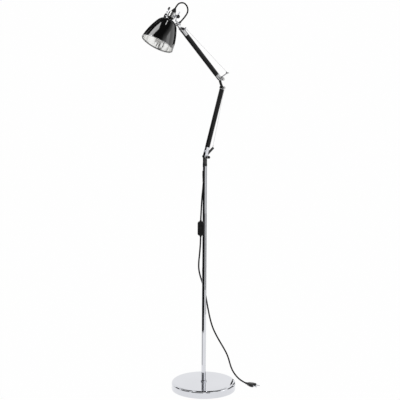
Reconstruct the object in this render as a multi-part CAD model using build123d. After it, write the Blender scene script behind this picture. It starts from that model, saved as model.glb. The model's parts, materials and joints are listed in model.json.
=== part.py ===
from build123d import *
import math
import os

# Adjustable arm floor lamp, in millimetres. The floor is Z = 0 and the pole stands on the Z axis.
# The arms lie in the XZ plane, with the head towards -X and every arm pivot along Y.

# Fits
slide_gap = 0.05
face_gap = 0.2
clear_gap = 0.4

# Base
base_diameter = 250.0
base_height = 31.0
base_edge_radius = 9.0
cover_wall = 1.5
cover_lift = 1.0
pad_thickness = 2.0
pad_inset = 6.0

# Pole
pole_diameter = 17.0
pole_wall = 1.5
pole_top = 886.0
collar_diameter = 23.0
collar_height = 6.0
collar_edge = 1.5
stud_diameter = 10.0
stud_grip = 34.0
nut_flats = 17.0
nut_height = 7.0
washer_diameter = 28.0
washer_thickness = 2.0
nut_pocket_diameter = 34.0
foot_plug_length = 44.0
bush_length = 24.0
bush_flange = 2.0

# Swivel bracket on the pole, with the lower balance lever
spigot_diameter = 10.0
shoulder_height = 6.0
shoulder_taper = 10.0
pivot_rise = 36.0
tongue_thickness = 8.0
tongue_width = 14.0
base_lever_lean = 54.0
base_lever_length = 51.0
base_lever_width = 7.0
base_lever_thickness = 6.0
wire_hold = 4.0

# Arms
arm_diameter = 18.0
arm_wall = 1.5
arm_pitch = 271.0
lower_lean = 18.1
upper_lean = -44.1
lower_root_reach = 36.5
lower_tip_reach = 6.8
upper_root_reach = 24.0
upper_tip_reach = 31.0
fork_width = 13.0
cheek_thickness = 3.4
fork_plug_length = 14.0
deep_slot = 25.0
short_slot = 7.6
lap_slot = 5.4
ear_thickness = 5.0
ear_margin = 3.0
lower_ear_offset = 12.0
upper_ear_offset = 16.0
upper_ear_low = 11.5
upper_ear_height = 6.0
spring_diameter = 11.0
spring_bore = 7.0
spring_length = 130.0
wire_diameter = 1.0

# Pivot bolts and clamp knobs
bolt_diameter = 5.0
bolt_head_diameter = 10.0
bolt_head_height = 4.0
bolt_socket_flats = 4.0
bolt_socket_depth = 2.0
hub_diameter = 12.0
hub_length = 13.0
knob_cap_diameter = 10.0
knob_cap_length = 5.0
knob_flutes = 12
flute_diameter = 1.8
wrist_knob_diameter = 9.6
wrist_knob_length = 8.0
wrist_bolt_stickout = 11.0
elbow_nut_diameter = 8.5
elbow_nut_reach = 16.0

# Elbow
link_pitch = 37.0
link_lean = -21.8
link_width = 7.5
link_thickness = 6.0
link_eye_diameter = 10.0
link_bow = -1.5
elbow_lever_lean = 64.0
elbow_lever_length = 44.0
elbow_lever_diameter = 4.4
lever_stub_diameter = 7.4
lever_stub_reach = 12.0
lever_socket_floor = 5.6
cross_bar_length = 14.0

# Wrist knuckle and yoke
wrist_lean = -44.9
knuckle_reach = 23.0
knuckle_width = 10.0
knuckle_boss_diameter = 13.0
knuckle_boss_length = 16.0
yoke_reach = 67.8
yoke_half_width = 34.5
yoke_foot_half_width = 14.5
yoke_rod_diameter = 5.0
yoke_bend_radius = 9.0
yoke_drop = 18.0
yoke_eye_diameter = 11.0
yoke_eye_length = 5.0
yoke_sleeve_diameter = 9.0
yoke_sleeve_length = 14.0
near_prong_length = 17.0
far_prong_length = 34.0
prong_tip_diameter = 7.0
prong_tip_length = 11.0
prong_tip_end = 2.0
cord_entry_lean = 52.0
cord_entry_length = 9.0
cord_entry_wide = 9.0
cord_entry_narrow = 7.5

# Head, with heights measured along the shade's axis from the tilt pivot
shade_lean = 34.0
shade_mouth = -117.5
shade_top = -17.0
shade_mouth_radius = 62.0
shade_waist_height = -66.0
shade_waist_radius = 51.0
shade_shoulder_height = -35.0
shade_shoulder_radius = 38.3
shade_crown_radius = 15.0
shade_wall = 1.0
shade_bead_radius = 1.3
lining_wall = 0.6
lining_inset = 3.0
neck_diameter = 28.0
neck_bottom = -7.0
neck_top = 15.0
neck_wall = 1.6
neck_edge_radius = 4.0
collar_waist_diameter = 18.0
collar_rim_diameter = 22.0
collar_rim_height = 2.5
nipple_diameter = 10.0
nipple_bore = 7.0
nipple_in_holder = 6.0
head_nut_flats = 14.0
head_nut_height = 3.5
gland_diameter = 17.0
gland_collar = 8.0
gland_tip_diameter = 8.0
gland_length = 17.0
gland_stem_diameter = 8.0
gland_stem_length = 4.0
pivot_pin_diameter = 5.0
pivot_sleeve_diameter = 8.0
pivot_pin_seat = 11.5
head_knob_diameter = 13.0
head_knob_length = 5.0
pin_in_knob = 3.4
far_pin_diameter = 3.0
holder_diameter = 28.0
holder_neck_diameter = 17.0
holder_neck_length = 6.0
holder_taper = 7.0
holder_length = 36.0
holder_grooves = 4
holder_groove_pitch = 3.6
holder_groove_width = 1.4
holder_groove_depth = 0.8
bulb_cap_diameter = 14.0
bulb_cap_length = 21.0
bulb_cap_showing = 2.0
bulb_diameter = 45.0
bulb_throat_radius = 11.0
bulb_throat_height = 3.4

# Mains cord, its outlet on the pole, its switch and its plug
cord_diameter = 6.0
loop_diameter = 5.5
cord_arc_share = 0.45
outlet_turn = -64.0
outlet_width = 7.8
outlet_height = 26.0
outlet_drop = 36.0
outlet_standoff = 13.2
outlet_face = 3.4
outlet_slope = 9.0
outlet_edge = 1.6
outlet_stem_diameter = 7.0
outlet_stem_height = 5.5
relief_length = 24.0
relief_wide = 8.8
relief_narrow = 7.6
relief_core_diameter = 6.8
relief_grooves = 4
relief_groove_pitch = 3.4
relief_groove_width = 1.6
switch_place = (-23.2, -4.6, 647.0)
switch_turn = -40.5
switch_width = 24.0
switch_height = 54.0
switch_depth = 17.0
switch_corner = 8.0
switch_edge = 3.0
switch_nub_diameter = 9.0
switch_nub_length = 4.0
switch_screw_diameter = 5.0
switch_screw_depth = 1.6
switch_screw_spacing = 36.0
rocker_width = 11.0
rocker_length = 21.0
rocker_pocket_depth = 7.0
rocker_pivot_depth = 1.2
rocker_end_height = 3.0
rocker_dip = 1.6
rocker_belly = 4.4
rocker_side_drop = 1.0
rocker_tip = 7.0
rocker_pin_diameter = 2.0
rocker_pin_engagement = 0.8
rocker_pocket_gap = 0.7
plug_turn = -80.0
plug_thickness = 12.0
plug_place = (160.0, -70.0, plug_thickness / 2 + face_gap)
plug_length = 33.0
plug_width = 26.0
plug_shoulder_width = 11.0
plug_relief_length = 11.0
plug_relief_wide = 10.0
plug_flare_length = 18.0
plug_edge = 3.0
plug_pin_diameter = 4.0
plug_pin_spacing = 18.6
plug_pin_length = 19.0
plug_pin_nose = 1.2

# Free points of the cords; each end is where the cord meets its fitting
mains_upper_points = [
    (-14.4, -6.3, 804),
    (-17.4, -5.7, 776),
    (-19.4, -4.8, 746),
    (-21.1, -4.7, 717),
    (-22.6, -4.8, 695),
]
mains_lower_points = [
    (-23.5, -4.4, 597),
    (-23.9, -2.8, 571),
    (-23.3, 1.2, 543),
    (-20.8, 8.3, 515),
    (-14.7, 16.3, 487),
    (-4.8, 21.6, 459),
    (6.1, 21.5, 431),
    (14.4, 17.8, 402),
    (19.7, 13.9, 372),
    (25.0, 11.4, 340),
    (31.3, 9.5, 307),
    (38.2, 7.2, 274),
    (46.6, 3.3, 242),
    (57.7, -2.0, 214),
    (70.9, -9.0, 186),
    (84.8, -15.5, 159),
    (96.0, -20.2, 134),
    (104.2, -22.1, 110),
    (112.1, -22.3, 88),
    (120.8, -23.4, 66),
    (132.0, -26.9, 45.6),
    (144.7, -34.5, 26.4),
    (153.6, -48.8, 12.4),
]
loop_points = [
    (-141.0, 0, 1493.0),
    (-130.5, 0, 1501.5),
    (-115.5, 0, 1504.0),
    (-101.0, 0, 1500.0),
    (-91.0, 0, 1489.5),
    (-87.0, 0, 1477.0),
    (-90.0, 0, 1465.0),
    (-99.0, 0, 1454.5),
    (-107.8, 0, 1446.2),
    (-115.5, 0, 1439.6),
]


# Frames: each arm piece is drawn upright on its own pivot and then leant over in place
def leaning(pivot, lean):
    return Pos(*pivot) * Rot(0, lean, 0)


def heading(lean):
    angle = math.radians(lean)
    return Vector(math.sin(angle), 0, math.cos(angle))


base_pivot_height = pole_top + pivot_rise
base_pivot = Vector(0, 0, base_pivot_height)
lower_elbow = base_pivot + heading(lower_lean) * arm_pitch
upper_elbow = lower_elbow + heading(link_lean) * link_pitch
wrist = upper_elbow + heading(upper_lean) * arm_pitch
tilt_pivot = wrist + heading(wrist_lean) * yoke_reach

turret_frame = leaning(base_pivot, 0)
lower_frame = leaning(base_pivot, lower_lean)
link_frame = leaning(lower_elbow, link_lean)
upper_frame = leaning(upper_elbow, upper_lean)
wrist_frame = leaning(wrist, wrist_lean)
head_frame = leaning(tilt_pivot, shade_lean)
outlet_frame = Rot(0, 0, outlet_turn)
switch_frame = Pos(*switch_place) * Rot(0, 0, switch_turn)
plug_frame = Pos(*plug_place) * Rot(0, 0, plug_turn)


# Shapes that several pieces share
def upright(radius, low, high):
    return Pos(0, 0, (low + high) / 2) * Cylinder(radius, high - low)


def across(radius, start, end):
    return Pos(0, (start + end) / 2, 0) * Rot(90, 0, 0) * Cylinder(radius, abs(end - start))


def turned(*points):
    return revolve(Plane.XZ * make_face(Polyline(*points, close=True)), Axis.Z)


def slab(sketch, thickness):
    return extrude(Plane.XZ * sketch, thickness / 2, both=True)


def hexagon(flats, low, high):
    return extrude(Pos(0, 0, low) * RegularPolygon(flats / 2, 6, major_radius=False), high - low)


def groove(radius, depth, middle, width):
    ring = upright(2 * radius, middle - width / 2, middle + width / 2)
    return ring - upright(radius - depth, middle - width, middle + width)


def make_relief(wide, length):
    relief = Cone(relief_narrow / 2, wide / 2, length)
    for ring in range(1, relief_grooves + 1):
        middle = relief_groove_pitch * ring - length / 2
        relief -= groove(relief_core_diameter / 2, 0, middle, relief_groove_width)
    return relief


def rod_between(start, end, diameter):
    line = Line(start, end)
    return Plane(origin=line @ 0.5, z_dir=line % 0.5) * Cylinder(diameter / 2, line.length)


def cord_radii(route):
    corners = [Vector(*point) for point in route]
    radii = []
    for before, corner, after in zip(corners, corners[1:], corners[2:]):
        arriving = corner - before
        leaving = after - corner
        half_turn = math.radians(arriving.get_angle(leaving)) / 2
        shorter = min(arriving.length, leaving.length)
        radii.append(cord_arc_share * shorter / math.tan(half_turn))
    return radii


def cord_tube(name, start, points, end, diameter):
    route = [tuple(start), *points, tuple(end)]
    radii = cord_radii(route)
    path = FilletPolyline(*route, radius=radii)
    tube = sweep(Plane(origin=path @ 0, z_dir=path % 0) * Circle(diameter / 2), path)
    drawn = math.pi * diameter**2 / 4 * path.length
    print(name, "length", round(path.length, 1), "volume share", round(tube.volume / drawn, 4))
    print(name, "from", [round(x, 2) for x in route[0]], "to", [round(x, 2) for x in route[-1]])
    print(name, "radii", [round(radius) for radius in radii])
    return tube


# Base: pad, weight and cover, held to the pole by a stud and a flanged nut
def base_disc(radius, low, high, edge):
    disc = upright(radius, low, high)
    return fillet(disc.edges().group_by(Axis.Z)[-1], edge)


base_radius = base_diameter / 2
hollow_radius = base_radius - cover_wall
hollow_top = base_height - cover_wall
hollow_edge = base_edge_radius - cover_wall
nut_top = pad_thickness + nut_height
nut_pocket_top = nut_top + washer_thickness
stud_hole_radius = stud_diameter / 2 + slide_gap
stud_hole = upright(stud_hole_radius, 0, base_height)

base_cover = base_disc(base_radius, cover_lift, base_height, base_edge_radius)
base_cover -= base_disc(hollow_radius, cover_lift, hollow_top, hollow_edge)
base_cover -= stud_hole
base_weight = base_disc(hollow_radius - clear_gap, pad_thickness, hollow_top, hollow_edge)
base_weight -= upright(nut_pocket_diameter / 2, pad_thickness, nut_pocket_top)
base_weight -= stud_hole
base_pad = upright(base_radius - pad_inset, 0, pad_thickness)
pole_stud = upright(stud_diameter / 2, pad_thickness, base_height + stud_grip)
pole_nut = hexagon(nut_flats, pad_thickness, nut_top)
pole_nut += upright(washer_diameter / 2, nut_top, nut_pocket_top)
pole_nut -= stud_hole

# Pole: tube, foot plug, collar, and the bush that the arms swivel in
pole_radius = pole_diameter / 2
pole_bore = pole_radius - pole_wall
fitted_radius = pole_bore - slide_gap
bush_bottom = pole_top - bush_length
bush_top = pole_top + bush_flange
outlet_bottom = pole_top - outlet_drop
outlet_stem_place = Pos(0, 0, outlet_bottom + outlet_stem_height)
outlet_hole = outlet_stem_place * across(outlet_stem_diameter / 2 + slide_gap, -pole_diameter, 0)

pole_tube = upright(pole_radius, base_height, pole_top)
pole_tube -= upright(pole_bore, base_height, pole_top)
pole_tube -= outlet_frame * outlet_hole
pole_plug = upright(fitted_radius, base_height, base_height + foot_plug_length)
pole_plug -= upright(stud_hole_radius, base_height, base_height + stud_grip + clear_gap)
pole_collar = upright(collar_diameter / 2, base_height, base_height + collar_height)
pole_collar = chamfer(pole_collar.edges().group_by(Axis.Z)[-1], collar_edge)
pole_collar -= upright(pole_radius + slide_gap, base_height, base_height + collar_height)
pole_bush = upright(fitted_radius, bush_bottom, pole_top)
pole_bush += upright(pole_radius, pole_top, bush_top)
pole_bush -= upright(spigot_diameter / 2 + slide_gap, bush_bottom, bush_top)


# Cord outlet: a hooded saddle on the pole with a tapered strain relief under it
def make_cord_outlet():
    front = -outlet_standoff - outlet_face
    top = outlet_bottom + outlet_height
    side = Polyline(
        (0, outlet_bottom), (front, outlet_bottom), (front, top - outlet_slope), (0, top), close=True
    )
    hood = extrude(Plane.YZ * make_face(side), outlet_width / 2, both=True)
    hood = fillet(hood.edges().filter_by(Axis.Z).group_by(Axis.Y)[0], outlet_edge)
    hood -= upright(pole_radius + slide_gap, outlet_bottom, top)
    relief = make_relief(relief_wide, relief_length)
    hood += Pos(0, -outlet_standoff, outlet_bottom - relief_length / 2) * relief
    stem = across(outlet_stem_diameter / 2, -outlet_standoff, pole_wall - pole_bore)
    return hood + outlet_stem_place * stem


cord_outlet = outlet_frame * make_cord_outlet()
outlet_exit = (outlet_frame * Pos(0, -outlet_standoff, outlet_bottom - relief_length)).position

# Fork and tongue sizes that every arm pivot shares
fork_half_gap = tongue_thickness / 2 + face_gap
fork_half_depth = fork_half_gap + cheek_thickness
bolt_hole_radius = bolt_diameter / 2 + slide_gap
tongue_hole = across(bolt_hole_radius, -tongue_thickness, tongue_thickness)


# Swivel bracket: spigot, shoulder, tongue and the lower balance lever in one casting
def make_swivel_bracket():
    shoulder_bottom = bush_top + face_gap - base_pivot_height
    shoulder_top = shoulder_bottom + shoulder_height
    tongue_foot = shoulder_top + shoulder_taper
    spigot = upright(spigot_diameter / 2, bush_bottom - base_pivot_height, shoulder_bottom)
    shoulder = upright(pole_radius, shoulder_bottom, shoulder_top)
    round_end = Pos(0, 0, shoulder_top) * Circle(pole_radius)
    flat_end = Pos(0, 0, tongue_foot) * Rectangle(tongue_width, tongue_thickness)
    tongue = Circle(tongue_width / 2) + Pos(0, tongue_foot / 2) * Rectangle(tongue_width, -tongue_foot)
    lever = Pos(0, base_lever_length / 2) * Rectangle(base_lever_width, base_lever_length)
    lever = Rot(0, base_lever_lean, 0) * slab(lever, base_lever_thickness)
    bracket = spigot + shoulder + loft([round_end, flat_end])
    return bracket + slab(tongue, tongue_thickness) + lever - tongue_hole


swivel_bracket = turret_frame * make_swivel_bracket()

# Arms: a tube with a fork in each end, and a balance spring inside
arm_radius = arm_diameter / 2
arm_bore = arm_radius - arm_wall


def arm_tube(root_reach, tip_reach):
    tip = arm_pitch - tip_reach
    return upright(arm_radius, root_reach, tip) - upright(arm_bore, root_reach, tip)


def fork(reach, slot_depth, slot_end):
    outline = Circle(fork_width / 2) + Pos(0, slot_depth / 2) * Rectangle(fork_width, slot_depth)
    block = slab(outline, 2 * fork_half_depth) & upright(arm_radius, -fork_width, slot_depth)
    block += upright(arm_radius, slot_depth, reach)
    block += upright(arm_bore - slide_gap, reach, reach + fork_plug_length)
    slot_width = slot_end + fork_half_gap
    slot_height = slot_depth + fork_width
    slot_place = Pos(0, (slot_end - fork_half_gap) / 2, slot_depth - slot_height / 2)
    block -= slot_place * Box(arm_diameter, slot_width, slot_height)
    return block - across(bolt_hole_radius, -arm_diameter, arm_diameter)


def full_fork(reach, slot_depth):
    return fork(reach, slot_depth, fork_half_gap)


def single_lug(reach, slot_depth):
    return fork(reach, slot_depth, arm_diameter)


def wire_ear(offset, low, high):
    length = offset + ear_margin
    return Pos(length / 2, 0, (low + high) / 2) * Box(length, ear_thickness, high - low)


def at_tip(shape):
    return Pos(0, 0, arm_pitch) * Rot(180, 0, 0) * shape


def arm_spring(root_reach):
    low = root_reach + fork_plug_length
    high = low + spring_length
    return upright(spring_diameter / 2, low, high) - upright(spring_bore / 2, low, high)


lower_tube = lower_frame * arm_tube(lower_root_reach, lower_tip_reach)
lower_root_fork = lower_frame * full_fork(lower_root_reach, deep_slot)
lower_ear = wire_ear(lower_ear_offset, lap_slot, lower_tip_reach)
lower_tip_fork = lower_frame * at_tip(single_lug(lower_tip_reach, lap_slot) + lower_ear)
lower_spring = lower_frame * arm_spring(lower_root_reach)
upper_tube = upper_frame * arm_tube(upper_root_reach, upper_tip_reach)
upper_root_fork = upper_frame * full_fork(upper_root_reach, short_slot)
upper_ear_high = upper_ear_low + upper_ear_height
upper_ear = wire_ear(upper_ear_offset, upper_ear_low, upper_ear_high)
upper_tip_fork = upper_frame * at_tip(full_fork(upper_tip_reach, short_slot) + upper_ear)
upper_spring = upper_frame * arm_spring(upper_root_reach)

# Pivot bolts, with the head on the +Y side and the clamp knob on the -Y side
knob_seat = -(fork_half_depth + face_gap)


def pivot_bolt(end):
    head_end = fork_half_depth + bolt_head_height
    head = across(bolt_head_diameter / 2, fork_half_depth, head_end)
    head = fillet(head.edges().group_by(Axis.Y)[-1], bolt_head_height / 4)
    head -= Rot(-90, 0, 0) * hexagon(bolt_socket_flats, head_end - bolt_socket_depth, head_end)
    return head + across(bolt_diameter / 2, fork_half_depth, end)


def make_elbow_pin():
    nut = across(elbow_nut_diameter / 2, -fork_half_gap, -elbow_nut_reach)
    nut = fillet(nut.edges().group_by(Axis.Y)[0], elbow_nut_diameter / 4)
    return pivot_bolt(-fork_half_gap) + nut


def knob_grip(diameter, start, end):
    grip = across(diameter / 2, start, end)
    grip = chamfer(grip.edges().filter_by(GeomType.CIRCLE), diameter / 14)
    for flute in range(knob_flutes):
        turn = Rot(0, flute * 360 / knob_flutes, 0)
        grip -= turn * Pos(diameter / 2 + flute_diameter / 4, 0, 0) * across(flute_diameter / 2, start, end)
    return grip


def make_clamp_cap():
    cap = across(knob_cap_diameter / 2, hub_end, cap_end)
    cap = fillet(cap.edges().group_by(Axis.Y)[0], knob_cap_length / 3)
    return cap - across(bolt_hole_radius, hub_end, bolt_end - clear_gap)


hub_end = knob_seat - hub_length
cap_end = hub_end - knob_cap_length
bolt_end = hub_end - knob_cap_length / 2
clamp_hub = knob_grip(hub_diameter, knob_seat, hub_end) - across(bolt_hole_radius, knob_seat, hub_end)
clamp_cap = make_clamp_cap()
wrist_knob_end = knob_seat - wrist_knob_length
wrist_grip = knob_grip(wrist_knob_diameter, knob_seat, wrist_knob_end)
wrist_grip -= across(bolt_hole_radius, knob_seat, wrist_knob_end)
wrist_shank = pivot_bolt(wrist_knob_end - wrist_bolt_stickout)
wrist_shank = fillet(wrist_shank.edges().group_by(Axis.Y)[0], bolt_diameter / 5)

base_bolt = lower_frame * pivot_bolt(bolt_end)
base_knob_hub = lower_frame * clamp_hub
base_knob_cap = lower_frame * clamp_cap
lower_elbow_pin = lower_frame * Pos(0, 0, arm_pitch) * make_elbow_pin()
elbow_bolt = upper_frame * pivot_bolt(bolt_end)
elbow_knob_hub = upper_frame * clamp_hub
elbow_knob_cap = upper_frame * clamp_cap
wrist_bolt = upper_frame * Pos(0, 0, arm_pitch) * wrist_shank
wrist_knob_grip = upper_frame * Pos(0, 0, arm_pitch) * wrist_grip

# Elbow link, bowed, with a stub that takes the lever rod
lever_frame = Pos(0, 0, link_pitch) * Rot(0, elbow_lever_lean - link_lean, 0)


def make_elbow_link():
    middle = ThreePointArc((0, 0), (link_bow, link_pitch / 2), (0, link_pitch))
    body = slab(SlotArc(middle, link_width), link_thickness)
    eye = slab(Circle(link_eye_diameter / 2), tongue_thickness)
    body += eye
    body += Pos(0, 0, link_pitch) * eye
    body += lever_frame * upright(lever_stub_diameter / 2, 0, lever_stub_reach)
    body -= lever_frame * upright(elbow_lever_diameter / 2 + slide_gap, lever_socket_floor, lever_stub_reach)
    return body - tongue_hole - Pos(0, 0, link_pitch) * tongue_hole


def make_elbow_lever():
    rod = upright(elbow_lever_diameter / 2, lever_socket_floor, elbow_lever_length)
    cross_bar = across(elbow_lever_diameter / 2, -cross_bar_length / 2, cross_bar_length / 2)
    return lever_frame * (rod + Pos(0, 0, elbow_lever_length) * cross_bar)


elbow_link = link_frame * make_elbow_link()
elbow_lever = link_frame * make_elbow_lever()


# Balance wires, from each lever to the ear at the far end of its arm
def wire_end(arm_frame, ear_offset, ear_high):
    return (arm_frame * Pos(ear_offset, 0, arm_pitch - ear_high)).position


def balance_wire(start, end, start_clearance):
    along = (end - start).normalized()
    return rod_between(start + along * start_clearance, end - along * clear_gap, wire_diameter)


base_lever_hold = base_pivot + heading(base_lever_lean) * (base_lever_length - wire_hold)
lower_wire_end = wire_end(lower_frame, lower_ear_offset, lower_tip_reach)
lower_wire_slant = (lower_wire_end - base_lever_hold).get_angle(heading(base_lever_lean))
lower_wire_start_gap = base_lever_width / 2 / math.sin(math.radians(lower_wire_slant)) + wire_diameter
lower_wire = balance_wire(base_lever_hold, lower_wire_end, lower_wire_start_gap)
cross_bar_place = upper_elbow + heading(elbow_lever_lean) * elbow_lever_length
upper_wire_end = wire_end(upper_frame, upper_ear_offset, upper_ear_high)
upper_wire = balance_wire(cross_bar_place, upper_wire_end, elbow_lever_diameter / 2 + clear_gap)

# Wrist knuckle, and the yoke bent from one rod that passes through it
yoke_rod_radius = yoke_rod_diameter / 2
yoke_eye_half = yoke_eye_length / 2
knuckle_boss_radius = knuckle_boss_diameter / 2
prong_turn = shade_lean - wrist_lean
prong_frame = Pos(0, 0, yoke_reach) * Rot(0, prong_turn, 0)
boss_place = Pos(0, 0, knuckle_reach)


def make_wrist_knuckle():
    outline = Circle(tongue_width / 2)
    outline += Pos(0, knuckle_reach / 2) * Rectangle(knuckle_width, knuckle_reach)
    body = slab(outline, tongue_thickness)
    body += boss_place * across(knuckle_boss_radius, -knuckle_boss_length / 2, knuckle_boss_length / 2)
    body -= boss_place * across(yoke_rod_radius + slide_gap, -knuckle_boss_length, knuckle_boss_length)
    return body - tongue_hole


def yoke_side(side, prong_length):
    tip = (prong_frame * Pos(0, side * yoke_half_width, prong_length)).position
    corner = (prong_frame * Pos(0, side * yoke_half_width, -yoke_drop)).position
    foot = (boss_place * Pos(0, side * yoke_foot_half_width, 0)).position
    return [tip, corner, foot]


def make_yoke_rod():
    points = yoke_side(-1, near_prong_length) + yoke_side(1, far_prong_length)[::-1]
    path = FilletPolyline(*points, radius=yoke_bend_radius)
    rod = sweep(Plane(origin=path @ 0, z_dir=path % 0) * Circle(yoke_rod_radius), path)
    near_eye = across(yoke_eye_diameter / 2, -yoke_eye_half, yoke_eye_half)
    rod += prong_frame * Pos(0, -yoke_half_width, 0) * near_eye
    rod -= prong_frame * across(pivot_pin_diameter / 2 + slide_gap, -2 * yoke_half_width, 0)
    rod -= prong_frame * across(far_pin_diameter / 2 + slide_gap, 0, 2 * yoke_half_width)
    return rod + prong_frame * Pos(0, -yoke_half_width, near_prong_length) * Sphere(yoke_rod_radius)


def on_far_prong(shape):
    return prong_frame * Pos(0, yoke_half_width, 0) * shape


def make_yoke_cap():
    high = far_prong_length + prong_tip_end
    tip = upright(prong_tip_diameter / 2, high - prong_tip_length, high)
    tip = fillet(tip.edges().group_by(Axis.Z)[-1], prong_tip_end)
    return on_far_prong(tip - upright(yoke_rod_radius + slide_gap, high - prong_tip_length, far_prong_length))


def make_yoke_sleeve():
    half = yoke_sleeve_length / 2
    sleeve = upright(yoke_sleeve_diameter / 2, -half, half)
    sleeve = fillet(sleeve.edges().filter_by(GeomType.CIRCLE), yoke_sleeve_diameter / 9)
    sleeve -= upright(yoke_rod_radius + slide_gap, -half, half)
    return on_far_prong(sleeve - across(far_pin_diameter / 2 + slide_gap, -half, half))


entry_frame = boss_place * Rot(0, cord_entry_lean - wrist_lean, 0)
entry_reach = knuckle_boss_radius + cord_entry_length


def make_cord_entry():
    cone = Cone(cord_entry_wide / 2, cord_entry_narrow / 2, entry_reach)
    body = entry_frame * Pos(0, 0, entry_reach / 2) * cone
    body -= boss_place * across(knuckle_boss_radius, -knuckle_boss_length, knuckle_boss_length)
    return body - make_wrist_knuckle()


wrist_knuckle = wrist_frame * make_wrist_knuckle()
yoke_rod = wrist_frame * make_yoke_rod()
yoke_cap = wrist_frame * make_yoke_cap()
yoke_sleeve = wrist_frame * make_yoke_sleeve()
cord_entry = wrist_frame * make_cord_entry()
entry_mouth = (wrist_frame * entry_frame * Pos(0, 0, entry_reach + clear_gap)).position

# Shade: a spun bell with a beaded mouth, and a lining that follows it inside
nipple_hole_radius = nipple_diameter / 2 + slide_gap
lining_stack = clear_gap + lining_wall
shade_inside_top = shade_top - shade_wall
holder_top = shade_inside_top - lining_stack


def shade_band(thickness):
    skirt = ThreePointArc(
        (shade_mouth_radius, shade_mouth),
        (shade_waist_radius, shade_waist_height),
        (shade_shoulder_radius, shade_shoulder_height),
    )
    crown = TangentArc(skirt @ 1, (shade_crown_radius, shade_top), tangent=skirt % 1)
    roof = Line(crown @ 1, (nipple_hole_radius, shade_top))
    line = Wire([*skirt.edges(), *crown.edges(), *roof.edges()])
    return make_face(line.offset_2d(thickness, side=Side.LEFT).edges())


def make_shade():
    bead = Pos(shade_mouth_radius - shade_wall / 2, shade_mouth) * Circle(shade_bead_radius)
    return revolve(Plane.XZ * (shade_band(shade_wall) + bead), Axis.Z)


def make_lining():
    strip = shade_band(shade_wall + lining_stack) - shade_band(shade_wall + clear_gap)
    strip -= Pos(shade_mouth_radius, shade_mouth) * Rectangle(shade_mouth_radius, 2 * lining_inset)
    packing_width = holder_neck_diameter / 2 - nipple_hole_radius
    packing_place = Pos(nipple_hole_radius + packing_width / 2, holder_top + lining_stack / 2)
    strip += packing_place * Rectangle(packing_width, lining_stack)
    return revolve(Plane.XZ * strip, Axis.Z)


shade = head_frame * make_shade()
reflector = head_frame * make_lining()


# Neck: black collar, polished cup, nipple with its nut, and the cord gland
def make_shade_collar():
    rim = collar_rim_diameter / 2
    waist = collar_waist_diameter / 2
    low = shade_top + collar_rim_height
    high = neck_bottom - collar_rim_height
    return turned(
        (nipple_hole_radius, shade_top),
        (rim, shade_top),
        (rim, low),
        (waist, low),
        (waist, high),
        (rim, high),
        (rim, neck_bottom),
        (nipple_hole_radius, neck_bottom),
    )


def make_neck_cup():
    cup = upright(neck_diameter / 2, neck_bottom, neck_top)
    cup = fillet(cup.edges().group_by(Axis.Z)[-1], neck_edge_radius)
    inside = upright(neck_diameter / 2 - neck_wall, neck_bottom + neck_wall, neck_top - neck_wall)
    cup -= fillet(inside.edges().group_by(Axis.Z)[-1], neck_edge_radius - neck_wall)
    cup -= upright(nipple_hole_radius, neck_bottom, neck_bottom + neck_wall)
    cup -= upright(gland_stem_diameter / 2 + slide_gap, neck_top - neck_wall, neck_top)
    return cup - across(pivot_sleeve_diameter / 2 + slide_gap, -neck_diameter, neck_diameter)


def make_gland():
    gland = upright(gland_stem_diameter / 2, neck_top - gland_stem_length, neck_top)
    gland += upright(gland_diameter / 2, neck_top, neck_top + gland_collar)
    taper = gland_length - gland_collar
    cone = Cone(gland_diameter / 2 - cover_wall / 2, gland_tip_diameter / 2, taper)
    return gland + Pos(0, 0, neck_top + gland_collar + taper / 2) * cone


neck_floor = neck_bottom + neck_wall
head_nut_top = neck_floor + head_nut_height
nipple_low = holder_top - nipple_in_holder
nipple_high = head_nut_top + face_gap
head_nut = hexagon(head_nut_flats, neck_floor, head_nut_top)
head_nut -= upright(nipple_hole_radius, neck_floor, head_nut_top)
nipple = upright(nipple_diameter / 2, nipple_low, nipple_high)
nipple -= upright(nipple_bore / 2, nipple_low, nipple_high)

shade_collar = head_frame * make_shade_collar()
neck_cup = head_frame * make_neck_cup()
neck_nut = head_frame * head_nut
nipple_tube = head_frame * nipple
neck_gland = head_frame * make_gland()
gland_mouth = (head_frame * Pos(0, 0, neck_top + gland_length)).position

# Tilt pivot: a knob clamps the yoke's near eye, and the far pin turns in the sleeve and the rod
near_eye_inner = yoke_half_width - yoke_eye_half - face_gap
near_eye_outer = yoke_half_width + yoke_eye_half + face_gap
near_pin_end = near_eye_outer + pin_in_knob
far_sleeve_inner = yoke_half_width - yoke_sleeve_diameter / 2 - face_gap
far_pin_end = yoke_half_width + yoke_sleeve_diameter / 2 - face_gap


def make_pivot_pins():
    near_pin = across(pivot_sleeve_diameter / 2, -pivot_pin_seat, -near_eye_inner)
    near_pin += across(pivot_pin_diameter / 2, -near_eye_inner, -near_pin_end)
    far_pin = across(pivot_sleeve_diameter / 2, pivot_pin_seat, far_sleeve_inner)
    far_pin += across(far_pin_diameter / 2, far_sleeve_inner, far_pin_end)
    return Compound(children=[near_pin, far_pin])


def make_tilt_knob():
    grip = knob_grip(head_knob_diameter, -near_eye_outer, -near_eye_outer - head_knob_length)
    return grip - across(pivot_pin_diameter / 2 + slide_gap, -near_eye_outer, -near_pin_end - clear_gap)


head_pivot_pins = head_frame * make_pivot_pins()
tilt_knob = head_frame * make_tilt_knob()


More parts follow.
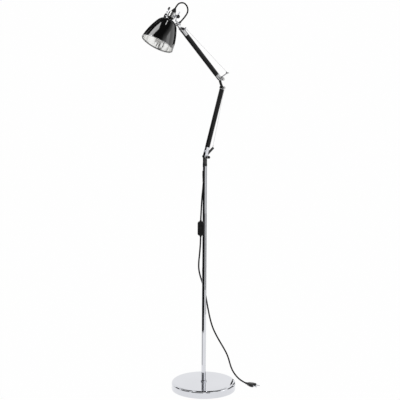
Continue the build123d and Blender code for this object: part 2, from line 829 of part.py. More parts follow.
# Lampholder and bulb
def make_lampholder():
    neck = holder_neck_diameter / 2
    skirt = holder_diameter / 2
    bottom = holder_top - holder_length
    socket = bulb_cap_diameter / 2 + slide_gap
    socket_top = bottom - bulb_cap_showing + bulb_cap_length + clear_gap
    taper_top = holder_top - holder_neck_length
    body = turned(
        (0, holder_top),
        (neck, holder_top),
        (neck, taper_top),
        (skirt, taper_top - holder_taper),
        (skirt, bottom),
        (0, bottom),
    )
    body -= upright(socket, bottom, socket_top)
    for ring in range(1, holder_grooves + 1):
        body -= groove(skirt, holder_groove_depth, bottom + ring * holder_groove_pitch, holder_groove_width)
    return body - upright(nipple_hole_radius, nipple_low - clear_gap, holder_top)


cap_low = holder_top - holder_length - bulb_cap_showing
throat_low = cap_low - bulb_throat_height
bulb_radius = bulb_diameter / 2
bulb_middle = throat_low - math.sqrt(bulb_radius**2 - bulb_throat_radius**2)


def make_bulb_glass():
    throat = Polyline((0, bulb_middle - bulb_radius), (0, cap_low), (bulb_cap_diameter / 2, cap_low),
                      (bulb_throat_radius, throat_low))
    ball = ThreePointArc(throat @ 1, (bulb_radius, bulb_middle), throat @ 0)
    return revolve(Plane.XZ * make_face(throat.edges() + ball.edges()), Axis.Z)


lampholder = head_frame * make_lampholder()
bulb_cap = head_frame * upright(bulb_cap_diameter / 2, cap_low, cap_low + bulb_cap_length)
bulb_glass = head_frame * make_bulb_glass()


# In-line switch: two shells that meet on the cord's axis, and a rocker in the front one
def make_switch_case():
    case = slab(RectangleRounded(switch_width, switch_height, switch_corner), switch_depth)
    rims = case.edges().group_by(Axis.Y)
    case = fillet(rims[0] + rims[-1], switch_edge)
    nub_end = switch_height / 2 + switch_nub_length
    return case + upright(switch_nub_diameter / 2, -nub_end, nub_end)


rocker_place = Pos(0, rocker_pivot_depth - switch_depth / 2, 0)
rocker_frame = rocker_place * Rot(rocker_tip, 0, 0)
rocker_pin_reach = rocker_width / 2 + rocker_pocket_gap + rocker_pin_engagement
rocker_plane = Plane(origin=(0, 0, 0), x_dir=(0, 0, 1), z_dir=(1, 0, 0))


def make_rocker():
    half = rocker_length / 2
    top = Polyline(
        (-half, -rocker_side_drop), (-half, rocker_end_height), (0, rocker_dip),
        (half, rocker_end_height), (half, -rocker_side_drop)
    )
    belly = ThreePointArc(top @ 1, (0, -rocker_belly), top @ 0)
    body = extrude(rocker_plane * make_face(top.edges() + belly.edges()), rocker_width / 2, both=True)
    return body + Rot(0, 90, 0) * Cylinder(rocker_pin_diameter / 2, 2 * rocker_pin_reach)


switch_case = make_switch_case()
half_space = Box(2 * switch_width, switch_depth, 2 * switch_height)
rocker_pocket = Box(
    rocker_width + 2 * rocker_pocket_gap, 2 * rocker_pocket_depth, rocker_length + 2 * rocker_pocket_gap
)
rocker_pin_hole = Cylinder(rocker_pin_diameter / 2 + slide_gap, 2 * (rocker_pin_reach + clear_gap))
switch_shell = switch_case & Pos(0, -switch_depth / 2, 0) * half_space
switch_shell -= Pos(0, -switch_depth / 2, 0) * rocker_pocket
switch_shell -= rocker_place * Rot(0, 90, 0) * rocker_pin_hole

switch_front = switch_frame * switch_shell
switch_cover = switch_case & Pos(0, switch_depth / 2, 0) * half_space
for side in (-1, 1):
    screw_place = Pos(0, 0, side * switch_screw_spacing / 2)
    screw_floor = switch_depth / 2 - switch_screw_depth
    switch_cover -= screw_place * across(switch_screw_diameter / 2, screw_floor, switch_depth)
switch_back = switch_frame * switch_cover
switch_rocker = switch_frame * rocker_frame * make_rocker()
switch_end = switch_height / 2 + switch_nub_length
switch_entry = (switch_frame * Pos(0, 0, switch_end)).position
switch_exit = (switch_frame * Pos(0, 0, -switch_end)).position


# Plug: a flat flared body with a tapered strain relief, and two round pins
def make_plug_body():
    flare = plug_relief_length + plug_flare_length
    end = plug_relief_length + plug_length
    half = Polyline(
        (plug_relief_length, 0), (plug_relief_length, plug_shoulder_width / 2),
        (flare, plug_width / 2), (end, plug_width / 2), (end, 0), close=True
    )
    outline = make_face(half)
    outline += mirror(outline, Plane.XZ)
    body = extrude(outline, plug_thickness / 2, both=True)
    rims = body.edges().group_by(Axis.Z)
    body = fillet(rims[0] + rims[-1], plug_edge)
    relief = make_relief(plug_relief_wide, plug_relief_length + plug_edge)
    return body + Pos((plug_relief_length + plug_edge) / 2, 0, 0) * Rot(0, 90, 0) * relief


def make_plug_pin(side):
    start = plug_relief_length + plug_length
    pin = upright(plug_pin_diameter / 2, start, start + plug_pin_length)
    pin = fillet(pin.edges().group_by(Axis.Z)[-1], plug_pin_nose)
    return Pos(0, side * plug_pin_spacing / 2, 0) * Rot(0, 90, 0) * pin


plug_body = plug_frame * make_plug_body()
plug_pins = plug_frame * Compound(children=[make_plug_pin(-1), make_plug_pin(1)])

# Cords
mains_cord_upper = cord_tube("mains_cord_upper", outlet_exit, mains_upper_points, switch_entry, cord_diameter)
mains_cord_lower = cord_tube("mains_cord_lower", switch_exit, mains_lower_points, plug_place, cord_diameter)
loop_cord = cord_tube("loop_cord", gland_mouth, loop_points, entry_mouth, loop_diameter)

nodes = {
    "base_pad": base_pad,
    "base_weight": base_weight,
    "base_cover": base_cover,
    "pole_stud": pole_stud,
    "pole_nut": pole_nut,
    "pole_plug": pole_plug,
    "pole_collar": pole_collar,
    "pole_tube": pole_tube,
    "pole_bush": pole_bush,
    "cord_outlet": cord_outlet,
    "mains_cord_upper": mains_cord_upper,
    "mains_cord_lower": mains_cord_lower,
    "switch_front": switch_front,
    "switch_back": switch_back,
    "switch_rocker": switch_rocker,
    "plug_body": plug_body,
    "plug_pins": plug_pins,
    "swivel_bracket": swivel_bracket,
    "base_bolt": base_bolt,
    "base_knob_hub": base_knob_hub,
    "base_knob_cap": base_knob_cap,
    "lower_tube": lower_tube,
    "lower_root_fork": lower_root_fork,
    "lower_tip_fork": lower_tip_fork,
    "lower_spring": lower_spring,
    "lower_wire": lower_wire,
    "lower_elbow_pin": lower_elbow_pin,
    "elbow_link": elbow_link,
    "elbow_lever": elbow_lever,
    "elbow_bolt": elbow_bolt,
    "elbow_knob_hub": elbow_knob_hub,
    "elbow_knob_cap": elbow_knob_cap,
    "upper_tube": upper_tube,
    "upper_root_fork": upper_root_fork,
    "upper_tip_fork": upper_tip_fork,
    "upper_spring": upper_spring,
    "upper_wire": upper_wire,
    "wrist_bolt": wrist_bolt,
    "wrist_knob_grip": wrist_knob_grip,
    "wrist_knuckle": wrist_knuckle,
    "yoke_rod": yoke_rod,
    "yoke_cap": yoke_cap,
    "yoke_sleeve": yoke_sleeve,
    "cord_entry": cord_entry,
    "head_pivot_pins": head_pivot_pins,
    "tilt_knob": tilt_knob,
    "neck_gland": neck_gland,
    "neck_cup": neck_cup,
    "neck_nut": neck_nut,
    "nipple_tube": nipple_tube,
    "shade_collar": shade_collar,
    "shade": shade,
    "reflector": reflector,
    "lampholder": lampholder,
    "bulb_cap": bulb_cap,
    "bulb_glass": bulb_glass,
    "loop_cord": loop_cord,
}

os.makedirs("parts", exist_ok=True)
for node, shape in nodes.items():
    export_step(shape, f"parts/{node}.step")
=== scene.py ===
import bpy
import bmesh
import json
import math
from mathutils import Matrix, Vector


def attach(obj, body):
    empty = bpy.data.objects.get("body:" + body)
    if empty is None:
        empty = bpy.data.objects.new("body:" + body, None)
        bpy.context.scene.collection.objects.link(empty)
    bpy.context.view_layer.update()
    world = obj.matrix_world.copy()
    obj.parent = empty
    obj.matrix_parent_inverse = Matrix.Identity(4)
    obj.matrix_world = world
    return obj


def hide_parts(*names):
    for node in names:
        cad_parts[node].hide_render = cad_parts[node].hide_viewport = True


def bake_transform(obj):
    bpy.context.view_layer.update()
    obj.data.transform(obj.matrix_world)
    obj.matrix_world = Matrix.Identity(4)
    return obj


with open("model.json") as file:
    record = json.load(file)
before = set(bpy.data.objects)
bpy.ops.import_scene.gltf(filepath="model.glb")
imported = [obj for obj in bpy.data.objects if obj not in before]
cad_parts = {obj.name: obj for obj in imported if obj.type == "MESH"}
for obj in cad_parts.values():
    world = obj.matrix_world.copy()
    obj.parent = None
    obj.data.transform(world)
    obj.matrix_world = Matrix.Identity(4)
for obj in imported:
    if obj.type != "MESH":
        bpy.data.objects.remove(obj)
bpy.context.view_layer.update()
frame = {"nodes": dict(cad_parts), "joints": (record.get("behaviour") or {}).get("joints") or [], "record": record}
nodes = frame["nodes"]
scene = bpy.context.scene
scene.view_settings.view_transform = "Standard"

jointPlace = {joint["name"]: Vector(joint["pos_m"]) for joint in frame["joints"]}
basePivot = jointPlace["base_hinge"]
lowerElbow = jointPlace["elbow_lower"]
upperElbow = jointPlace["elbow_upper"]
wristPivot = jointPlace["wrist_hinge"]
tiltPivot = jointPlace["head_tilt"]


# camera: the eye stands to the left of the arms' plane and looks a little down
cameraView = {
    "eye": (-3.2582, -3.7926, 1.7262),
    "pitchDown": 11.003,
    "turn": -40.46,
    "roll": 0.34,
    "lens": 120.0,
    "sensor": 36.0,
    "farClip": 120,
}


def placeCamera(view):
    data = bpy.data.cameras.new("photoCamera")
    data.lens = view["lens"]
    data.sensor_width = view["sensor"]
    data.clip_end = view["farClip"]
    camera = bpy.data.objects.new("photoCamera", data)
    camera.location = view["eye"]
    turned = Matrix.Rotation(math.radians(view["turn"]), 3, "Z")
    tipped = Matrix.Rotation(math.radians(90 - view["pitchDown"]), 3, "X")
    rolled = Matrix.Rotation(math.radians(view["roll"]), 3, "Z")
    camera.rotation_euler = (turned @ tipped @ rolled).to_euler()
    scene.collection.objects.link(camera)
    scene.camera = camera


placeCamera(cameraView)
print("camera placed")


# studio: white all round, soft lamps, and dark screens that only glossy surfaces see
studioSet = {
    "worldFill": 0.55,
    "floorSize": 80.0,
    "floorDrop": 0.0004,
    "floorGlow": 0.985,
    "floorColour": (0.88, 0.88, 0.885, 1),
    "floorRough": 0.9,
    "screenStep": 6,  # degrees
    "screenBands": 8,
}
overHead = (-0.205, 0.0)
overPole = (0.0, 0.0)
softLamps = [
    {"name": "keyLamp", "over": overHead, "around": -80, "away": 0.55, "height": 2.6, "aim": 1.4,
     "size": (0.62, 0.78), "power": 6.4},
    {"name": "stripLamp", "over": overHead, "around": 92, "away": 0.42, "height": 2.6, "aim": 1.4,
     "size": (0.42, 0.07), "power": 0.8},
    {"name": "sideLamp", "over": overPole, "around": 75, "away": 3.0, "height": 1.9, "aim": 0.9,
     "size": (1.0, 2.2), "power": 6},
]
ceiling = 2.9
floorLine = 0.002
# each screen is a strip from one angle to another, between two edges given as (away, height);
# its grey goes from the first edge to the second in even bands
darkScreens = [
    {"name": "ceilingMiddle", "over": overHead, "angles": (-180, 180),
     "edges": ((0.01, ceiling), (1.4, ceiling)), "grey": (0.02, 0.02)},
    {"name": "ceilingRight", "over": overHead, "angles": (45, 130),
     "edges": ((1.4, ceiling), (3.2, ceiling)), "grey": (0.02, 0.8)},
    {"name": "ceilingFront", "over": overHead, "angles": (-130, 45),
     "edges": ((1.4, ceiling), (3.5, ceiling)), "grey": (0.02, 0.3)},
    {"name": "headBack", "over": overHead, "angles": (119, 234),
     "edges": ((0.5, 1.28), (0.5, 1.95)), "grey": (0.02, 0.02)},
    {"name": "armWall", "over": overPole, "angles": (-124, -20),
     "edges": ((0.3, 0.84), (0.3, 1.2)), "grey": (0.01, 0.01)},
    {"name": "underArm", "over": overPole, "angles": (-200, -20),
     "edges": ((0.016, 0.88), (0.32, 0.88)), "grey": (0.01, 0.01)},
    {"name": "poleFloor", "over": overPole, "angles": (-124, 4),
     "edges": ((0.78, floorLine), (6.0, floorLine)), "grey": (0.01, 0.01)},
    {"name": "poleShade", "over": overPole, "angles": (4, 16),
     "edges": ((0.78, floorLine), (6.0, floorLine)), "grey": (0.35, 0.35)},
    {"name": "poleFoot", "over": overPole, "angles": (-112, -58),
     "edges": ((0.3, floorLine), (0.78, floorLine)), "grey": (0.45, 0.45)},
    {"name": "poleLine", "over": overPole, "angles": (45, 72),
     "edges": ((0.5, 0.27), (0.5, 0.88)), "grey": (0.08, 0.08)},
    {"name": "poleEdge", "over": overPole, "angles": (98, 126),
     "edges": ((0.5, 0.5), (0.5, 0.82)), "grey": (0.08, 0.08)},
]
# low slats round the base, with gaps between them so that its top mirrors light and dark from any side
lowSlats = {"over": overPole, "edges": ((1.0, 0.02), (1.0, 0.5)), "grey": (0.01, 0.01)}
slatAngles = [(-112, -91), (-84, -49), (-41, -1), (9, 22), (92, 128), (138, 152)]


def aroundObject(over, angle, away, height):
    turned = math.radians(cameraView["turn"] - 90 + angle)  # 0 is towards the eye, plus is to its right
    return Vector((over[0] + away * math.cos(turned), over[1] + away * math.sin(turned), height))


def faceTowards(thing, target):
    thing.rotation_euler = (Vector(target) - thing.location).to_track_quat("-Z", "Y").to_euler()


def whiteToEye(tree, otherShader, glow):
    # white for camera, glossy and transmission rays, and the plain shader for the rest
    links = tree.links
    path = tree.nodes.new("ShaderNodeLightPath")
    seen = path.outputs["Is Camera Ray"]
    for kind in ("Is Glossy Ray", "Is Transmission Ray"):
        either = tree.nodes.new("ShaderNodeMath")
        either.operation = "MAXIMUM"
        links.new(seen, either.inputs[0])
        links.new(path.outputs[kind], either.inputs[1])
        seen = either.outputs[0]
    share = tree.nodes.new("ShaderNodeMath")
    share.operation = "MULTIPLY"
    share.inputs[1].default_value = glow
    links.new(seen, share.inputs[0])
    mix = tree.nodes.new("ShaderNodeMixShader")
    links.new(share.outputs[0], mix.inputs[0])
    links.new(otherShader.outputs[0], mix.inputs[1])
    return mix


def makeWorld():
    world = bpy.data.worlds.new("whiteStudio")
    world.use_nodes = True
    tree = world.node_tree
    fill = tree.nodes["Background"]
    fill.inputs["Color"].default_value = (1, 1, 1, 1)
    fill.inputs["Strength"].default_value = studioSet["worldFill"]
    white = tree.nodes.new("ShaderNodeBackground")
    white.inputs["Color"].default_value = (1, 1, 1, 1)
    white.inputs["Strength"].default_value = 1
    mix = whiteToEye(tree, fill, 1.0)
    tree.links.new(white.outputs[0], mix.inputs[2])
    tree.links.new(mix.outputs[0], tree.nodes["World Output"].inputs["Surface"])
    scene.world = world


def makeFloor():
    half = studioSet["floorSize"] / 2
    mesh = bpy.data.meshes.new("studioFloor")
    corners = [(-half, -half, 0), (half, -half, 0), (half, half, 0), (-half, half, 0)]
    mesh.from_pydata(corners, [], [(0, 1, 2, 3)])
    floor = bpy.data.objects.new("studioFloor", mesh)
    floor.location.z = -studioSet["floorDrop"]
    material = bpy.data.materials.new("studioFloor")
    material.use_nodes = True
    tree = material.node_tree
    paper = tree.nodes["Principled BSDF"]
    paper.inputs["Base Color"].default_value = studioSet["floorColour"]
    paper.inputs["Roughness"].default_value = studioSet["floorRough"]
    glow = tree.nodes.new("ShaderNodeEmission")
    mix = whiteToEye(tree, paper, studioSet["floorGlow"])
    tree.links.new(glow.outputs[0], mix.inputs[2])
    tree.links.new(mix.outputs[0], tree.nodes["Material Output"].inputs["Surface"])
    mesh.materials.append(material)
    scene.collection.objects.link(floor)


def hangLamp(lamp):
    data = bpy.data.lights.new(lamp["name"], "AREA")
    data.shape = "RECTANGLE"
    data.size, data.size_y = lamp["size"]
    data.energy = lamp["power"]
    light = bpy.data.objects.new(lamp["name"], data)
    light.location = aroundObject(lamp["over"], lamp["around"], lamp["away"], lamp["height"])
    faceTowards(light, (*lamp["over"], lamp["aim"]))
    scene.collection.objects.link(light)


def greyGlow(name, grey):
    material = bpy.data.materials.new(name)
    material.use_nodes = True
    tree = material.node_tree
    tree.nodes.remove(tree.nodes["Principled BSDF"])
    glow = tree.nodes.new("ShaderNodeEmission")
    glow.inputs["Color"].default_value = (grey, grey, grey, 1)
    tree.links.new(glow.outputs[0], tree.nodes["Material Output"].inputs["Surface"])
    return material


def hangScreen(screen):
    first, last = screen["angles"]
    (nearAway, nearHeight), (farAway, farHeight) = screen["edges"]
    nearGrey, farGrey = screen["grey"]
    count = max(2, round((last - first) / studioSet["screenStep"]))
    bands = studioSet["screenBands"] if nearGrey != farGrey else 1
    corners, faces, tones = [], [], []
    for step in range(count + 1):
        angle = first + (last - first) * step / count
        for band in range(bands + 1):
            share = band / bands
            away = nearAway + (farAway - nearAway) * share
            height = nearHeight + (farHeight - nearHeight) * share
            corners.append(aroundObject(screen["over"], angle, away, height))
            if step and band:
                here = len(corners) - 1
                before = here - bands - 1
                faces.append((before - 1, here - 1, here, before))
                tones.append(band - 1)
    mesh = bpy.data.meshes.new(screen["name"])
    mesh.from_pydata(corners, [], faces)
    for band in range(bands):
        grey = nearGrey + (farGrey - nearGrey) * (band + 0.5) / bands
        mesh.materials.append(greyGlow(screen["name"] + str(band), grey))
    mesh.polygons.foreach_set("material_index", tones)
    thing = bpy.data.objects.new(screen["name"], mesh)
    thing.visible_camera = False
    thing.visible_diffuse = False
    thing.visible_shadow = False
    thing.visible_transmission = False
    scene.collection.objects.link(thing)


makeWorld()
makeFloor()
for lamp in softLamps:
    hangLamp(lamp)
for screen in darkScreens:
    hangScreen(screen)
for number, angles in enumerate(slatAngles):
    hangScreen({"name": "lowSlat" + str(number), "angles": angles, **lowSlats})
print("studio ready")


# finishes: each one is a principled surface with its own grain, gloss variation and fine relief
chromeFinish = {"colour": (0.695, 0.705, 0.74), "metal": 1, "gloss": (0.035, 0.075),
                "cloud": 9, "grain": 900, "relief": 0.000004, "tint": 0.02}
satinFinish = {"colour": (0.55, 0.55, 0.545), "metal": 1, "gloss": (0.22, 0.32),
               "cloud": 40, "grain": 800, "relief": 0.00001, "tint": 0.04}
# a darker, slightly rougher copy of the chrome: its darker colour is painted shade for the forks, wrist knuckle
# and elbow lever
forkShadeFinish = {"colour": (0.47, 0.47, 0.475), "metal": 1, "gloss": (0.10, 0.16),
              "cloud": 60, "grain": 900, "relief": 0.000006, "tint": 0.04}
# a paler, rougher copy of the chrome: its paler colour is a painted highlight for the knob hubs, the roughness is
# real
hubHighlightFinish = {"colour": (0.86, 0.86, 0.865), "metal": 1, "gloss": (0.34, 0.44),
             "cloud": 60, "grain": 900, "relief": 0.00001, "tint": 0.03}
steelFinish = {"colour": (0.62, 0.62, 0.63), "metal": 1, "gloss": (0.24, 0.38),
               "cloud": 60, "grain": 700, "relief": 0.00002, "tint": 0.06}
armFinish = {"colour": (0.008, 0.008, 0.0083), "metal": 0, "gloss": (0.20, 0.28),
             "cloud": 45, "grain": 1100, "relief": 0.00002, "tint": 0.12, "specular": 0.2}
shadeFinish = {"colour": (0.003, 0.003, 0.0031), "metal": 0, "gloss": (0.06, 0.10),
               "cloud": 14, "grain": 260, "relief": 0.000008, "tint": 0.1, "specular": 0.5,
               "coat": (1, 0.05, 1.5),
               "rim": {"lean": 34, "below": -0.1161, "colour": (0.62, 0.62, 0.62)}}
plasticFinish = {"colour": (0.006, 0.006, 0.0063), "metal": 0, "gloss": (0.34, 0.48),
                 "cloud": 70, "grain": 1500, "relief": 0.00003, "tint": 0.12, "specular": 0.3}
cordFinish = {"colour": (0.003, 0.003, 0.0031), "metal": 0, "gloss": (0.40, 0.52),
              "cloud": 90, "grain": 1300, "relief": 0.00004, "tint": 0.15, "specular": 0.15}
castFinish = {"colour": (0.016, 0.016, 0.0165), "metal": 0, "gloss": (0.24, 0.34),
              "cloud": 60, "grain": 520, "relief": 0.00006, "tint": 0.15}
ironFinish = {"colour": (0.12, 0.118, 0.115), "metal": 0.4, "gloss": (0.65, 0.85),
              "cloud": 80, "grain": 420, "relief": 0.0003, "tint": 0.2}
padFinish = {"colour": (0.035, 0.035, 0.035), "metal": 0, "gloss": (0.8, 0.95),
             "cloud": 50, "grain": 2200, "relief": 0.0002, "tint": 0.25}
bushFinish = {"colour": (0.10, 0.10, 0.10), "metal": 0, "gloss": (0.35, 0.5),
              "cloud": 70, "grain": 900, "relief": 0.00003, "tint": 0.06}
brassFinish = {"colour": (0.72, 0.52, 0.24), "metal": 1, "gloss": (0.2, 0.34),
               "cloud": 90, "grain": 800, "relief": 0.00002, "tint": 0.06}
liningFinish = {"colour": (0.95, 0.95, 0.94), "metal": 1, "gloss": (0.10, 0.15),
                "cloud": 30, "grain": 500, "relief": 0.000001, "tint": 0.03, "rings": 125,
                "ringRelief": 0.000004, "lean": 34}
glassFinish = {"colour": (0.93, 0.92, 0.89), "metal": 0, "gloss": (0.12, 0.2),
               "cloud": 40, "grain": 600, "relief": 0.00001, "tint": 0.02, "coat": (0.6, 0.05, 1.5)}
surfaceDetail = {"cloud": 4, "grain": 2, "toneSpan": (0.3, 0.7), "ringWobble": 1.5}


def makeFinish(name, finish):
    material = bpy.data.materials.new(name)
    material.use_nodes = True
    tree = material.node_tree
    surface = tree.nodes["Principled BSDF"]
    place = tree.nodes.new("ShaderNodeTexCoord").outputs["Object"]
    cloud = tree.nodes.new("ShaderNodeTexNoise")
    cloud.inputs["Scale"].default_value = finish["cloud"]
    cloud.inputs["Detail"].default_value = surfaceDetail["cloud"]
    tree.links.new(place, cloud.inputs["Vector"])
    tone = tree.nodes.new("ShaderNodeValToRGB")  # slow change of tone
    dark = [channel * (1 - finish["tint"]) for channel in finish["colour"]]
    pale = [min(1, channel * (1 + finish["tint"])) for channel in finish["colour"]]
    for stop, position, colour in zip(tone.color_ramp.elements, surfaceDetail["toneSpan"], (dark, pale)):
        stop.position = position
        stop.color = (*colour, 1)
    tree.links.new(cloud.outputs["Fac"], tone.inputs["Fac"])
    tree.links.new(tone.outputs["Color"], surface.inputs["Base Color"])
    gloss = tree.nodes.new("ShaderNodeMapRange")  # slow change of gloss
    gloss.inputs["To Min"].default_value = finish["gloss"][0]
    gloss.inputs["To Max"].default_value = finish["gloss"][1]
    tree.links.new(cloud.outputs["Fac"], gloss.inputs["Value"])
    tree.links.new(gloss.outputs["Result"], surface.inputs["Roughness"])
    grain = tree.nodes.new("ShaderNodeTexNoise")
    grain.inputs["Scale"].default_value = finish["grain"]
    grain.inputs["Detail"].default_value = surfaceDetail["grain"]
    tree.links.new(place, grain.inputs["Vector"])
    bump = tree.nodes.new("ShaderNodeBump")
    bump.inputs["Distance"].default_value = finish["relief"]
    tree.links.new(grain.outputs["Fac"], bump.inputs["Height"])
    if "rings" in finish:
        tree.links.new(spunRings(tree, place, finish), bump.inputs["Normal"])
    tree.links.new(bump.outputs["Normal"], surface.inputs["Normal"])
    surface.inputs["Metallic"].default_value = finish["metal"]
    if "specular" in finish:
        surface.inputs["Specular IOR Level"].default_value = finish["specular"]
    if "rim" in finish:
        bareRim(tree, place, surface, tone.outputs["Color"], finish["rim"])
    if "coat" in finish:
        for socket, value in zip(("Coat Weight", "Coat Roughness", "Coat IOR"), finish["coat"]):
            surface.inputs[socket].default_value = value
    return material


def spunRings(tree, place, finish):
    # rings round the leaning axis, as a spinning tool leaves them
    upright = tree.nodes.new("ShaderNodeMapping")
    upright.inputs["Rotation"].default_value = (0, -math.radians(finish["lean"]), 0)
    tree.links.new(place, upright.inputs["Vector"])
    wave = tree.nodes.new("ShaderNodeTexWave")
    wave.bands_direction = "Z"
    wave.inputs["Scale"].default_value = finish["rings"]
    wave.inputs["Distortion"].default_value = surfaceDetail["ringWobble"]
    tree.links.new(upright.outputs["Vector"], wave.inputs["Vector"])
    bump = tree.nodes.new("ShaderNodeBump")
    bump.inputs["Distance"].default_value = finish["ringRelief"]
    tree.links.new(wave.outputs["Fac"], bump.inputs["Height"])
    return bump.outputs["Normal"]


def bareRim(tree, place, surface, paint, rim):
    # the paint stops at the rolled mouth, where the bare metal shows
    lean = math.radians(rim["lean"])
    along = Vector((math.sin(lean), 0, math.cos(lean)))
    height = tree.nodes.new("ShaderNodeVectorMath")
    height.operation = "DOT_PRODUCT"
    height.inputs[1].default_value = along
    tree.links.new(place, height.inputs[0])
    bare = tree.nodes.new("ShaderNodeMath")
    bare.operation = "LESS_THAN"
    bare.inputs[1].default_value = tiltPivot.dot(along) + rim["below"]
    tree.links.new(height.outputs["Value"], bare.inputs[0])
    mix = tree.nodes.new("ShaderNodeMix")
    mix.data_type = "RGBA"
    mix.inputs["B"].default_value = (*rim["colour"], 1)
    tree.links.new(bare.outputs[0], mix.inputs["Factor"])
    tree.links.new(paint, mix.inputs["A"])
    tree.links.new(mix.outputs["Result"], surface.inputs["Base Color"])
    tree.links.new(bare.outputs[0], surface.inputs["Metallic"])


steel = makeFinish("satinSteel", steelFinish)
cordBlack = makeFinish("cordSheath", cordFinish)
slotFinish = {
    "chrome": makeFinish("polishedChrome", chromeFinish),
    "satin_chrome": makeFinish("satinChrome", satinFinish),
    "black_arm": makeFinish("satinBlackArm", armFinish),
    "black_shade": makeFinish("glossBlackShade", shadeFinish),
    "black_plastic": makeFinish("mouldedBlack", plasticFinish),
    "cord": cordBlack,
    "casting": makeFinish("paintedCasting", castFinish),
    "steel": steel,
    "iron": makeFinish("castWeight", ironFinish),
    "pad": makeFinish("floorPad", padFinish),
    "bush": makeFinish("bushGrey", bushFinish),
    "lining": makeFinish("silveredLining", liningFinish),
    "brass": makeFinish("turnedBrass", brassFinish),
    "glass": makeFinish("opalGlass", glassFinish),
}
# the darker chrome copy, painted shade
shadedChrome = makeFinish("shadedForkChrome", forkShadeFinish)
# the paler hub chrome, painted highlight
frostedHighlight = makeFinish("frostedHubHighlight", hubHighlightFinish)
nodeFinish = {  # chrome pieces given a darker copy of the chrome as painted shade, or a paler copy as painted highlight
    "lower_tip_fork": shadedChrome, "upper_root_fork": shadedChrome, "upper_tip_fork": shadedChrome, "wrist_knuckle": shadedChrome,
    "elbow_lever": shadedChrome, "base_knob_hub": frostedHighlight, "elbow_knob_hub": frostedHighlight,
}
for subpart in frame["record"]["subparts"]:
    part = nodes[subpart["node"]]
    finish = nodeFinish.get(subpart["node"], slotFinish[subpart["material_slot"]])
    part.data.materials.clear()
    part.data.materials.append(finish)
print("finishes on", len(nodes), "pieces")


# cords: the solids' own points on one smooth line each, a few of them moved near the floor
cordBuild = {"steps": 8, "bevelSteps": 4, "order": 3}
mainsUpper = {
    "thick": 0.006,
    "long": 0.148,
    "route": [
        (-0.01186, -0.00579, 0.826), (-0.0144, -0.0063, 0.804), (-0.0174, -0.0057, 0.776),
        (-0.0194, -0.0048, 0.746), (-0.0211, -0.0047, 0.717), (-0.0226, -0.0048, 0.695),
        (-0.0232, -0.0046, 0.678),
    ],
}
mainsLower = {
    "thick": 0.006,
    "long": 0.670,
    "route": [
        (-0.0232, -0.0046, 0.616), (-0.0235, -0.0044, 0.597), (-0.0239, -0.0028, 0.571),
        (-0.0233, 0.0012, 0.543), (-0.0208, 0.0083, 0.515), (-0.0147, 0.0163, 0.487),
        (-0.0048, 0.0216, 0.459), (0.0061, 0.0215, 0.431), (0.0144, 0.0178, 0.402),
        (0.0197, 0.0139, 0.372), (0.0250, 0.0114, 0.340), (0.0313, 0.0095, 0.307),
        (0.0382, 0.0072, 0.274), (0.0466, 0.0033, 0.242), (0.0577, -0.0020, 0.214),
        (0.0709, -0.0090, 0.186), (0.0853, -0.0155, 0.159), (0.0985, -0.0202, 0.134),
        (0.1092, -0.0221, 0.110), (0.1166, -0.0223, 0.088), (0.1238, -0.0234, 0.066),
        (0.1330, -0.0269, 0.0456), (0.1447, -0.0345, 0.0264), (0.1536, -0.0488, 0.0124),
        (0.1600, -0.0700, 0.0062),
    ],
}
headLoop = {
    "thick": 0.0055,
    "long": 0.137,
    "still": (-0.1283, 0, 1.4735),
    "route": [
        (-0.14810, 0, 1.48311), (-0.1410, 0, 1.4930), (-0.1305, 0, 1.5015),
        (-0.1155, 0, 1.5040), (-0.1010, 0, 1.5000), (-0.0910, 0, 1.4895),
        (-0.0870, 0, 1.4770), (-0.0900, 0, 1.4650), (-0.0990, 0, 1.4545),
        (-0.1078, 0, 1.4462), (-0.1155, 0, 1.4396), (-0.12185, 0, 1.43464),
    ],
}


def cordCurve(name, cord, thick):
    data = bpy.data.curves.new(name, "CURVE")
    data.dimensions = "3D"
    data.resolution_u = cordBuild["steps"]
    data.bevel_depth = thick / 2
    data.bevel_resolution = cordBuild["bevelSteps"]
    data.use_fill_caps = True
    spline = data.splines.new("NURBS")
    spline.points.add(len(cord["route"]) - 1)
    for point, place in zip(spline.points, cord["route"]):
        point.co = (*place, 1)
    spline.order_u = cordBuild["order"]
    spline.use_endpoint_u = True
    curve = bpy.data.objects.new(name, data)
    scene.collection.objects.link(curve)
    return curve


def layCord(name, cord, body, solid):
    curve = cordCurve(name, cord, cord["thick"])
    curve.data.materials.append(cordBlack)
    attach(curve, body)
    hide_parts(solid)


def meshOfCurve(curve, name):
    bpy.context.view_layer.update()
    ready = curve.evaluated_get(bpy.context.evaluated_depsgraph_get())
    mesh = bpy.data.meshes.new_from_object(ready)
    mesh.name = name
    return mesh


def dropCurve(curve):
    data = curve.data
    bpy.data.objects.remove(curve)
    bpy.data.curves.remove(data)


def smoothAll(mesh):
    mesh.polygons.foreach_set("use_smooth", [True] * len(mesh.polygons))


layCord("mainsCordUpper", mainsUpper, "stand", "mains_cord_upper")
layCord("mainsCordLower", mainsLower, "stand", "mains_cord_lower")


def makeHeadLoop():
    line = cordCurve("headLoopLine", headLoop, 0)
    path = [vertex.co.copy() for vertex in meshOfCurve(line, "headLoopPath").vertices]
    dropCurve(line)
    tube = cordCurve("headLoopTube", headLoop, headLoop["thick"])
    mesh = meshOfCurve(tube, "headLoop")
    dropCurve(tube)
    mesh.materials.clear()
    mesh.materials.append(cordBlack)
    smoothAll(mesh)
    loop = bpy.data.objects.new("headLoop", mesh)
    scene.collection.objects.link(loop)
    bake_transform(loop)
    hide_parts("loop_cord")


makeHeadLoop()
print("cords laid")


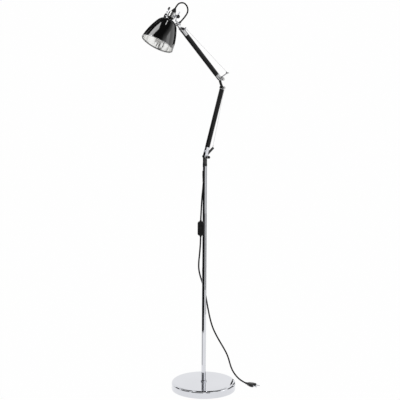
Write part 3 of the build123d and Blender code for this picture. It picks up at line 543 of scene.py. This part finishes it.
# balance springs wound inside the tubes, and the stranded balance wires outside them
lowerSpring = {
    "body": "lower_arm", "solid": "lower_spring", "from": basePivot, "to": lowerElbow, "low": 0.0505,
}
upperSpring = {
    "body": "upper_arm", "solid": "upper_spring", "from": upperElbow, "to": wristPivot, "low": 0.038,
}
springCoil = {"long": 0.130, "radius": 0.0045, "wire": 0.00095, "pitch": 0.0022, "steps": 12, "sides": 6}
lowerWire = {
    "name": "lowerWire", "solid": "lower_wire", "bodies": ("turret", "lower_arm"),
    "start": (0.03961, 0, 0.95589), "end": (0.09339, 0, 1.16901),
}
upperWire = {
    "name": "upperWire", "solid": "upper_wire", "bodies": ("elbow", "upper_arm"),
    "start": (0.10802, 0, 1.23492), "end": (-0.09417, 0, 1.40686),
}
wireBuild = {
    "strands": 3, "strandRadius": 0.00022, "layRadius": 0.00025, "pitch": 0.006, "steps": 8, "sides": 6,
    "sleeveRadius": 0.0011, "sleeveLong": 0.007, "sleeveWaist": 0.00085, "sleeveSides": 14,
    "bentShare": 0.6,
}
# the sleeve's outline: share of its length, and how full it is there
sleeveProfile = [(0.0, 0.7), (0.06, 1), (0.36, 1), (0.46, 0), (0.54, 0), (0.64, 1), (0.94, 1), (1.0, 0.7)]


def sideways(along):
    first = along.cross(Vector((0, 1, 0))).normalized()
    return first, along.cross(first)


def sweepTube(mesh, points, radii, sides):
    # rings of points carried along the line without twist, closed at both ends
    rings = []
    previous = None
    for index, point in enumerate(points):
        ahead = points[min(index + 1, len(points) - 1)] - points[max(index - 1, 0)]
        along = ahead.normalized()
        if previous is None:
            first = sideways(along)[0]
        else:
            first = (previous - along * previous.dot(along)).normalized()
        second = along.cross(first)
        previous = first
        ring = []
        for side in range(sides):
            angle = 2 * math.pi * side / sides
            out = first * math.cos(angle) + second * math.sin(angle)
            ring.append(mesh.verts.new(point + out * radii[index]))
        rings.append(ring)
    for near, far in zip(rings, rings[1:]):
        for side in range(sides):
            after = (side + 1) % sides
            mesh.faces.new((near[side], near[after], far[after], far[side]))
    mesh.faces.new(rings[0][::-1])
    mesh.faces.new(rings[-1])


def helix(start, end, radius, pitch, steps, phase):
    along = (end - start).normalized()
    first, second = sideways(along)
    count = max(2, round((end - start).length / pitch * steps))
    points = []
    for step in range(count + 1):
        share = step / count
        angle = phase + 2 * math.pi * share * count / steps
        out = first * math.cos(angle) + second * math.sin(angle)
        points.append(start.lerp(end, share) + out * radius)
    return points


def pieceFrom(name, shape, finish):
    bmesh.ops.recalc_face_normals(shape, faces=shape.faces)
    mesh = bpy.data.meshes.new(name)
    shape.to_mesh(mesh)
    shape.free()
    mesh.materials.append(finish)
    smoothAll(mesh)
    piece = bpy.data.objects.new(name, mesh)
    scene.collection.objects.link(piece)
    return piece


def windSpring(name, spring):
    along = (spring["to"] - spring["from"]).normalized()
    inset = springCoil["wire"]
    start = spring["from"] + along * (spring["low"] + inset)
    end = start + along * (springCoil["long"] - 2 * inset)
    points = helix(start, end, springCoil["radius"], springCoil["pitch"], springCoil["steps"], 0)
    shape = bmesh.new()
    sweepTube(shape, points, [springCoil["wire"]] * len(points), springCoil["sides"])
    piece = pieceFrom(name, shape, steel)
    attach(piece, spring["body"])
    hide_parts(spring["solid"])


def crimpSleeve(shape, place, along):
    # a short sleeve squeezed once in the middle
    radii, points = [], []
    squeeze = wireBuild["sleeveRadius"] - wireBuild["sleeveWaist"]
    for share, full in sleeveProfile:
        points.append(place + along * wireBuild["sleeveLong"] * share)
        radii.append(wireBuild["sleeveWaist"] + squeeze * full)
    sweepTube(shape, points, radii, wireBuild["sleeveSides"])


def strandWire(wire):
    start, end = Vector(wire["start"]), Vector(wire["end"])
    along = (end - start).normalized()
    shape = bmesh.new()
    for strand in range(wireBuild["strands"]):
        phase = 2 * math.pi * strand / wireBuild["strands"]
        points = helix(start, end, wireBuild["layRadius"], wireBuild["pitch"], wireBuild["steps"], phase)
        sweepTube(shape, points, [wireBuild["strandRadius"]] * len(points), wireBuild["sides"])
    crimpSleeve(shape, start, along)
    crimpSleeve(shape, end, -along)
    piece = pieceFrom(wire["name"], shape, steel)
    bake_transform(piece)
    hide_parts(wire["solid"])


windSpring("lowerSpring", lowerSpring)
windSpring("upperSpring", upperSpring)
strandWire(lowerWire)
strandWire(upperWire)
print("springs and balance wires made")
